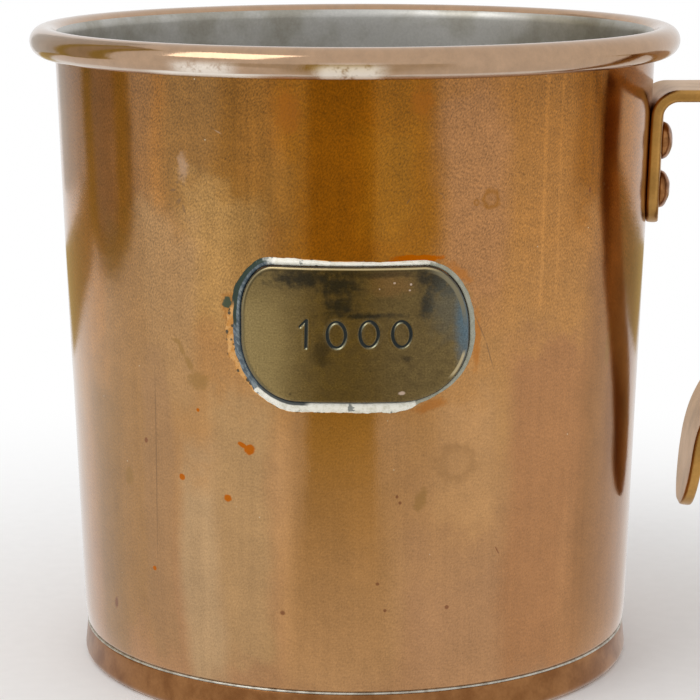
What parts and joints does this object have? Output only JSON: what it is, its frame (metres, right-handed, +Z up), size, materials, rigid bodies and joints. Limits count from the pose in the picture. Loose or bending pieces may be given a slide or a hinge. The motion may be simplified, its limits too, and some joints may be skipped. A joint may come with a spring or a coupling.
{
  "type": "measuring cup",
  "caption": "Tapered copper measuring cup with a wired rim, an open strap handle riveted below the rim and a soldered brass plaque on the front.",
  "frame": {"origin": "centre of the underside, on the cup's axis", "axes": "+Z up the cup's axis, -Y out of the plaque's face, +X out to the handle"},
  "size_m": [0.1722, 0.1198, 0.1187],
  "materials": {
    "copper": "aged copper, worn polish with brown patina and stains",
    "copper_base": "darker aged copper",
    "copper_rivet": "aged copper, peened",
    "brass": "tarnished olive-brown brass, brushed",
    "solder": "dull grey-white soft solder",
    "iron": "plain drawn iron wire"
  },
  "bodies": {
    "root": {"wall": "copper", "rim_wire": "iron", "base_disc": "copper_base", "base_solder": "solder", "handle": "copper", "rivet_upper_front": "copper_rivet", "rivet_upper_back": "copper_rivet", "rivet_lower_front": "copper_rivet", "rivet_lower_back": "copper_rivet", "plaque": "brass", "plaque_solder": "solder"}
  },
  "joints": []
}
